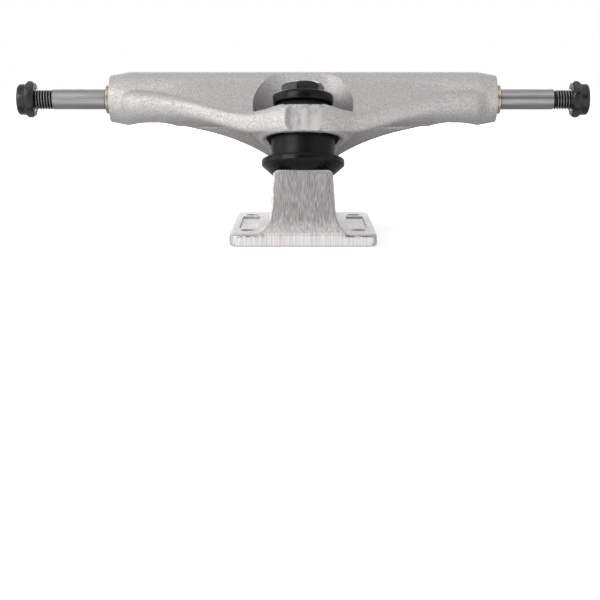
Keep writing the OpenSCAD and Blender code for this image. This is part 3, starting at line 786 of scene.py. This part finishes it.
# Yoke: a flat-bottomed wedge along the steering axis, from the ring back to the nose. Its measures are the
# share of that way and the half width there.
yoke_measures = (
    (-0.06, 23.2), (0, 21.4), (0.1, 18.6), (0.2, 15.8), (0.26, 14.0), (0.36, 12.0), (0.5, 10.2), (0.7, 9)
)
ring_middle = Vector((0, -18.99, 42.15))
nose_way = Vector((0, 22.5, 12.6)) - ring_middle
across_way = Vector((0, 0.5801, 0.8145))
yoke_low = -4
yoke_high = 6
yoke_square = 0.75
yoke_sections = []
for t, half in yoke_measures:
    section = []
    for step in range(48):
        turn = math.tau * step / 48
        x = half * math.copysign(abs(math.cos(turn))**yoke_square, math.cos(turn))
        rise = (yoke_high - yoke_low) / 2 * math.copysign(abs(math.sin(turn))**yoke_square, math.sin(turn))
        middle = ring_middle + nose_way * t + across_way * (yoke_high + yoke_low) / 2
        section.append((middle + Vector((x, 0, 0)) + across_way * rise) * mm)
    yoke_sections.append(section)
yoke = lofted("yoke", yoke_sections)
join(hanger, tube, ring, flat, yoke, *arms)
scoop_r = 30
scoop_z = 13.3
for x in (-58.5, 58.5):
    cut(hanger, rod("scoop", scoop_r, Vector((x, -40, scoop_z)) * mm, Vector((x, 40, scoop_z)) * mm, 256))
apply_modifier(hanger, "REMESH", mode="VOXEL", voxel_size=0.5 * mm)
apply_modifier(hanger, "SMOOTH", factor=0.5, iterations=6)

# Rims of the web stand out again after the smoothing
rims = hanger.vertex_groups.new(name="rims")
for point in hanger.data.vertices:
    z = point.co.z / mm
    on_web = faded(44 - z, 3) * faded(54 - abs(point.co.x) / mm, 6) * faded(z - 23, 4)
    if on_web > 0 and point.co.y > 3 * mm:
        rims.add([point.index], on_web, "REPLACE")
apply_modifier(hanger, "DISPLACE", strength=0.55 * mm, mid_level=0, vertex_group="rims")
hanger.vertex_groups.clear()
apply_modifier(hanger, "SMOOTH", factor=0.5, iterations=3)
for low, high in ((-80, -hanger_half), (hanger_half, 80)):
    cut(hanger, box("end_cut", (low, -20, 30), (high, 30, 80)))

# Axle bore, the bushings' seats, and the room above the ring for a wrench on the kingpin's head, cut crisp
cut(hanger, rod("bore", axle_bore, Vector((-90, axle_y, axle_z)) * mm, Vector((90, axle_y, axle_z)) * mm))
cut(hanger, turned("seats", [
    (0, 30), (seat_r, 30), (seat_r, seat_low), (ring_bore, seat_low), (ring_bore, top_seat),
    (top_seat_r, top_seat), (top_seat_r, 46.8), (rim_r, 48.8), (rim_r, 49.4), (0, 49.4)
], kingpin_point(0, 0, 0), along_kingpin))
wrench_r = 12.3
wrench_x = 6.6
wrench_low = 48.4
wrench_q = 0.6
for x in (-wrench_x, wrench_x):
    cut(hanger, rod("wrench_room", wrench_r, kingpin_point(x, wrench_q, wrench_low),
                    kingpin_point(x, wrench_q, 90), 128))
cut(hanger, box("wrench_room", (-wrench_x, -wrench_r, wrench_low), (wrench_x, wrench_r + wrench_q, 90),
                -kingpin_lean, kingpin_point(0, 0, 0)))
bpy.ops.object.select_all(action="DESELECT")
bpy.context.view_layer.objects.active = hanger
hanger.select_set(True)
bpy.ops.object.shade_smooth_by_angle(angle=math.radians(40))
finish_with(hanger, cast_aluminium)
# The ring's front facet gets the worn metal with its painted shade and painted highlight
finish_faces(hanger, worn_and_shaded_aluminium, lambda f: f.normal.y < -0.9 and abs(f.center.x) < 6.8 * mm and (
    f.center.y < -32 * mm))
finish_faces(hanger, rough_cast, lambda f: f.center.y < -30 * mm and abs(f.center.x) < 7 * mm and (
    f.center.z > (49.6 + math.sin(f.center.x / mm) * 0.5) * mm))
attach(hanger, "hanger")
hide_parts("hanger")

# Top bushing
# A smaller cone of the same urethane, between the ring and the top washer.
top_bushing_foot = 45.56
top_bushing_h = 8.7
top_bore_room = 1.5
cone = []
for i in range(9):
    t = i / 8
    cone.append((11.4 - 2.2 * t + 0.25 * math.sin(math.pi * t), 0.7 + (top_bushing_h - 1.2) * t))
top_bushing = turned("top_urethane_bushing", [
    (bushing_bore + top_bore_room, 0), *arc(10.7, 0.7, 0.7, -90, -10, 4), *cone,
    (8.9, top_bushing_h), (bushing_bore + 0.1, top_bushing_h),
    *[(bushing_bore + top_bore_room * min(1, i / 4), top_bushing_h * (1 - i / 12)) for i in range(1, 12)]
], kingpin_point(0, 0, top_bushing_foot), along_kingpin)
finish_with(top_bushing, urethane)
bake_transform(top_bushing)
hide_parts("top_bushing")

# Top washer
# A small cup washer of blackened sheet steel, rim down over the top bushing.
top_washer_seat = 54.28
top_washer = turned("top_cup_washer", [
    (washer_bore, 0.15), (5.1, 0), (9.6, 0), *arc(9.8, -0.6, 0.4, 90, 0, 3), (10.2, -1.9),
    *arc(10.8, -1.7, 0.5, 180, 360, 6), *arc(10.2, 0.4, 1.2, 0, 90, 6), (5.1, washer_t),
    (washer_bore, washer_t - 0.15)
], kingpin_point(0, 0, top_washer_seat), along_kingpin)
finish_with(top_washer, black_washer)
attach(top_washer, "base")
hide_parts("top_washer")

# Kingpin
# A blackened steel bolt with a rolled thread at its foot. It goes down through washers, bushings, ring and
# tower to its nut, and its head holds the stack together.
kingpin_r = 4.76
kingpin_end = 2
head_under = 55.92
head_h = 4
head_corner = kingpin_flats / 2 / math.cos(math.radians(30))
head_turn = -17
shank_start = 13.4
thread_pitch = 1.058
thread_depth = 0.6
thread_crest = 0.16


def thread(name, r, start, turns, sides=40):
    """A helical ridge along Z, from start in millimetres, its root a little inside the core."""
    root = r - thread_depth - 0.05
    flank = (thread_pitch - thread_crest) / 2
    ridge = drawn(name, [Vector(p) * mm for p in [
        (root, 0, start), (r, 0, start + flank), (r, 0, start + flank + thread_crest),
        (root, 0, start + thread_pitch), (root, 0, start)
    ]])
    bpy.ops.mesh.select_all(action="SELECT")
    bpy.ops.mesh.remove_doubles(threshold=0.001 * mm)
    bpy.ops.object.mode_set(mode="OBJECT")
    apply_modifier(ridge, "SCREW", angle=2 * math.pi * turns, screw_offset=thread_pitch * turns * mm,
                   steps=sides * turns, render_steps=sides * turns, use_merge_vertices=False)
    bpy.ops.object.mode_set(mode="EDIT")
    bpy.ops.mesh.select_all(action="SELECT")
    bpy.ops.mesh.fill_holes(sides=0)
    bpy.ops.mesh.normals_make_consistent(inside=False)
    bpy.ops.object.mode_set(mode="OBJECT")
    return ridge


kingpin_core = kingpin_r - thread_depth
kingpin = turned("kingpin_bolt", [
    (0, kingpin_end), (kingpin_core - 0.5, kingpin_end), (kingpin_core, kingpin_end + 0.5),
    (kingpin_core, shank_start - 0.5), (kingpin_r, shank_start), (kingpin_r, head_under + 0.2),
    (0, head_under + 0.2)
], (0, 0, 0), (0, 0, 0))
head = rod("head", head_corner, (0, 0, (head_under - 0.5) * mm), (0, 0, (head_under + head_h + 1) * mm), 6)
head.rotation_euler = (0, 0, math.radians(head_turn))
bpy.ops.object.transform_apply()
cut(head, turned("chamfers", [
    (0, head_under), (head_corner - 0.4, head_under), (head_corner + 0.1, head_under + 0.3),
    (head_corner + 0.1, head_under + head_h - 1.15), (kingpin_flats / 2 - 0.5, head_under + head_h - 0.1),
    (kingpin_flats / 2 - 0.9, head_under + head_h), (0, head_under + head_h)
], (0, 0, 0), (0, 0, 0)), "INTERSECT")
ease_edges(head, 0.16)
join(kingpin, head, thread("thread", kingpin_r, kingpin_end + 0.3, 9))
set_down(kingpin, kingpin_point(0, 0, 0), along_kingpin)
finish_with(kingpin, black_oxide)
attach(kingpin, "kingpin")
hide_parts("kingpin")

# Axle
# One ground steel rod through the hanger, with a rolled thread and a chamfer at each end.
axle_r = 3.97
axle_half = 107.95
thread_start = 97.2
core_r = axle_r - thread_depth
half_axle = [
    (core_r - 0.6, axle_half), (core_r, axle_half - 0.6), (core_r, thread_start),
    (axle_r, thread_start - 0.35)
]
groove = [(axle_r, 76.8), (axle_r - 0.2, 76.7), (axle_r - 0.2, 76.4), (axle_r, 76.3)]
axle = turned("axle_rod", [
    (0, -axle_half), *[(r, -x) for r, x in half_axle], *[(r, -x) for r, x in groove],
    *reversed(groove), *reversed(half_axle), (0, axle_half)
], (0, 0, 0), (0, 0, 0))
join(axle, thread("thread", axle_r, thread_start, 10), thread("thread", axle_r, -axle_half + 0.2, 10))
set_down(axle, Vector((0, axle_y, axle_z)) * mm, (0, math.pi / 2, 0))
axle_steel = new_material("axle_steel", (0.36, 0.355, 0.36), 1.0, 0.34)
ground_lines = grain(axle_steel, 1800, (0.04, 1, 1), 4)

# The thread's grooves are darker than its ridges, by their distance from the axle's middle
tree = axle_steel.node_tree
place = tree.nodes.new("ShaderNodeTexCoord")
centred = tree.nodes.new("ShaderNodeMapping")
centred.inputs["Location"].default_value = (0, -axle_y * mm, -axle_z * mm)
centred.inputs["Scale"].default_value = (0, 1, 1)
from_middle = tree.nodes.new("ShaderNodeVectorMath")
from_middle.operation = "LENGTH"
groove_level = tree.nodes.new("ShaderNodeMapRange")
groove_level.inputs["From Min"].default_value = (axle_r - 0.1) * mm
groove_level.inputs["From Max"].default_value = (axle_r - 0.45) * mm
groove_level.inputs["To Max"].default_value = 0.9
tree.links.new(place.outputs["Object"], centred.inputs["Vector"])
tree.links.new(centred.outputs["Vector"], from_middle.inputs[0])
tree.links.new(from_middle.outputs["Value"], groove_level.inputs["Value"])
axle_color = spread(axle_steel, ground_lines, (0.215, 0.208, 0.211), (0.325, 0.316, 0.319))
to_shader(axle_steel, shaded(axle_steel, axle_color, groove_level.outputs["Result"]), "Base Color")
to_shader(axle_steel, spread(axle_steel, ground_lines, 0.42, 0.28), "Roughness")
roughen(axle_steel, ground_lines, 0.02, 0.4)
finish_with(axle, axle_steel)
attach(axle, "hanger")
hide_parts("axle")

# Speed rings
# Two thin zinc-plated steel washers on each side. They lie loose against the hanger's end face.
ring_steel = new_material("ring_steel", (0.60, 0.56, 0.44), 1.0, 0.32)
plating = grain(ring_steel, 800)
speed_bore = 4.03
speed_r = 5.6
speed_t = 0.85
eased = 0.1
to_shader(ring_steel, spread(ring_steel, plating, (0.34, 0.31, 0.23), (0.48, 0.44, 0.34)), "Base Color")
for side, body in ((-1, "left"), (1, "right")):
    for place, start in (("inner", 74.52), ("outer", 75.39)):
        speed_ring = turned(f"speed_washer_{body}_{place}", [
            (speed_bore + eased, 0), (speed_r - eased, 0), (speed_r, eased), (speed_r, speed_t - eased),
            (speed_r - eased, speed_t), (speed_bore + eased, speed_t), (speed_bore, speed_t - eased),
            (speed_bore, eased)
        ], Vector((side * start, axle_y, axle_z)) * mm, (0, side * math.pi / 2, 0))
        finish_with(speed_ring, ring_steel)
        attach(speed_ring, f"{body}_rings")
        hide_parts(f"speed_ring_{body}_{place}")

# Axle nuts
# A black lock nut on each end, with a nylon ring in its crown, which faces outwards.
nut_h = 6.6
nut_start = 103.95
nut_flats = 12.7
nut_bore = 4.03
for side, body in ((-1, "left"), (1, "right")):
    seat = Vector((side * nut_start, axle_y, axle_z)) * mm
    turn = (0, side * math.pi / 2, 0)
    nut = lock_nut(f"axle_lock_nut_{body}", nut_flats, nut_h, nut_bore, seat, turn, 30)
    finish_with(nut, black_oxide)
    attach(nut, f"{body}_nut")
    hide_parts(f"axle_nut_{body}")
    nut_ring = nylon_ring(f"axle_nut_ring_{body}", nut_h, nut_bore, seat, turn)
    finish_with(nut_ring, nylon)
    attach(nut_ring, f"{body}_nut")
    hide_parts(f"axle_nut_insert_{body}")

# Stage
# A pale floor and five soft studio lamps, the brightest from the left, in a white room. A dark cloth behind
# the camera gives the metal something dark to show.
bpy.ops.object.select_all(action="DESELECT")
bpy.ops.mesh.primitive_plane_add(size=6, location=(0, 0, -0.2 * mm))
floor = bpy.context.object
floor.name = "floor"
pale_floor = new_material("pale_floor", (0.85, 0.85, 0.85), 0.0, 0.9)
finish_with(floor, pale_floor)


def add_node(tree, kind, **settings):
    node = tree.nodes.new(kind)
    for name, value in settings.items():
        setattr(node, name, value)
    return node


# The floor glows for the camera, more so away from the truck, and for gloss in front of the truck. Only the
# shadow stays grey.
tree = pale_floor.node_tree
rays = add_node(tree, "ShaderNodeLightPath")
place = add_node(tree, "ShaderNodeTexCoord")
distance = add_node(tree, "ShaderNodeVectorMath", operation="LENGTH")
far_glow = add_node(tree, "ShaderNodeMapRange")
far_glow.inputs["From Min"].default_value = 0.12
far_glow.inputs["From Max"].default_value = 0.7
far_glow.inputs["To Min"].default_value = 0.55
far_glow.inputs["To Max"].default_value = 1.0
camera_glow = add_node(tree, "ShaderNodeMath", operation="MULTIPLY")
ahead = add_node(tree, "ShaderNodeSeparateXYZ")
gloss_glow = add_node(tree, "ShaderNodeMapRange")
gloss_glow.inputs["From Min"].default_value = -0.036
gloss_glow.inputs["From Max"].default_value = -0.046
gloss_glow.inputs["To Min"].default_value = 0.0
gloss_glow.inputs["To Max"].default_value = 1.0
glow = add_node(tree, "ShaderNodeMath", operation="MULTIPLY_ADD")
tree.links.new(place.outputs["Object"], distance.inputs[0])
tree.links.new(distance.outputs["Value"], far_glow.inputs["Value"])
tree.links.new(place.outputs["Object"], ahead.inputs[0])
tree.links.new(ahead.outputs["Y"], gloss_glow.inputs["Value"])
tree.links.new(gloss_glow.outputs["Result"], glow.inputs[1])
tree.links.new(far_glow.outputs["Result"], camera_glow.inputs[0])
tree.links.new(rays.outputs["Is Camera Ray"], camera_glow.inputs[1])
tree.links.new(rays.outputs["Is Glossy Ray"], glow.inputs[0])
tree.links.new(camera_glow.outputs[0], glow.inputs[2])
tree.nodes["Principled BSDF"].inputs["Emission Color"].default_value = (1, 1, 1, 1)
to_shader(pale_floor, glow.outputs[0], "Emission Strength")

# The room is white to the camera and in gloss, and dimmer as a light
room = bpy.data.worlds.new("room")
room.use_nodes = True
bpy.context.scene.world = room
tree = room.node_tree
rays = add_node(tree, "ShaderNodeLightPath")
straight = add_node(tree, "ShaderNodeMath", operation="MAXIMUM")
clear = add_node(tree, "ShaderNodeMath", operation="MAXIMUM")
room_level = add_node(tree, "ShaderNodeMapRange")
room_level.inputs["To Min"].default_value = 0.27
room_level.inputs["To Max"].default_value = 1.0
tree.links.new(rays.outputs["Is Camera Ray"], straight.inputs[0])
tree.links.new(rays.outputs["Is Glossy Ray"], straight.inputs[1])
tree.links.new(straight.outputs[0], clear.inputs[0])
tree.links.new(rays.outputs["Is Transmission Ray"], clear.inputs[1])
tree.links.new(clear.outputs[0], room_level.inputs["Value"])
tree.nodes["Background"].inputs["Color"].default_value = (1, 1, 1, 1)
tree.links.new(room_level.outputs["Result"], tree.nodes["Background"].inputs["Strength"])

# A dark cloth behind the camera, which only gloss sees
bpy.ops.mesh.primitive_plane_add(size=1, location=(0, -1.3, 0.45), rotation=(math.pi / 2, 0, 0))
cloth = bpy.context.object
cloth.name = "cloth"
cloth.scale = (1.4, 0.62, 1)
finish_with(cloth, new_material("dark_cloth", (0.06, 0.06, 0.06), 0.0, 0.9))
cloth.visible_camera = False
cloth.visible_diffuse = False
cloth.visible_shadow = False


def soft_lamp(name, place, size, power):
    """An area lamp that looks at the truck."""
    light = bpy.data.lights.new(name, "AREA")
    light.shape = "RECTANGLE"
    light.size, light.size_y = size
    light.energy = power
    lamp = bpy.data.objects.new(name, light)
    bpy.context.collection.objects.link(lamp)
    lamp.location = place
    lamp.rotation_euler = (Vector((0, 0, 0.04)) - Vector(place)).to_track_quat("-Z", "Y").to_euler()


soft_lamp("key_lamp", (-0.68, -0.74, 0.4), (0.7, 0.5), 6.5)
soft_lamp("rear_lamp", (-0.1, 0.95, 0.35), (1.0, 0.4), 4.5)
soft_lamp("front_lamp", (0.0, -0.5, 0.87), (0.7, 0.4), 0.8)
soft_lamp("low_lamp", (0.75, -0.8, 0.1), (0.5, 0.15), 0.9)
soft_lamp("left_lamp", (-0.9, 0.0, 0.3), (0.5, 0.5), 1.2)

lens = bpy.data.cameras.new("camera")
lens.lens = 85.75
lens.sensor_width = 36
lens.clip_start = 0.01
camera = bpy.data.objects.new("camera", lens)
bpy.context.collection.objects.link(camera)
camera.location = (-0.00025, -0.5574, 0.06593)
camera.rotation_euler = (math.radians(90 - 9.42), 0, math.radians(0.097))
bpy.context.scene.camera = camera
bpy.context.scene.view_settings.view_transform = "Standard"
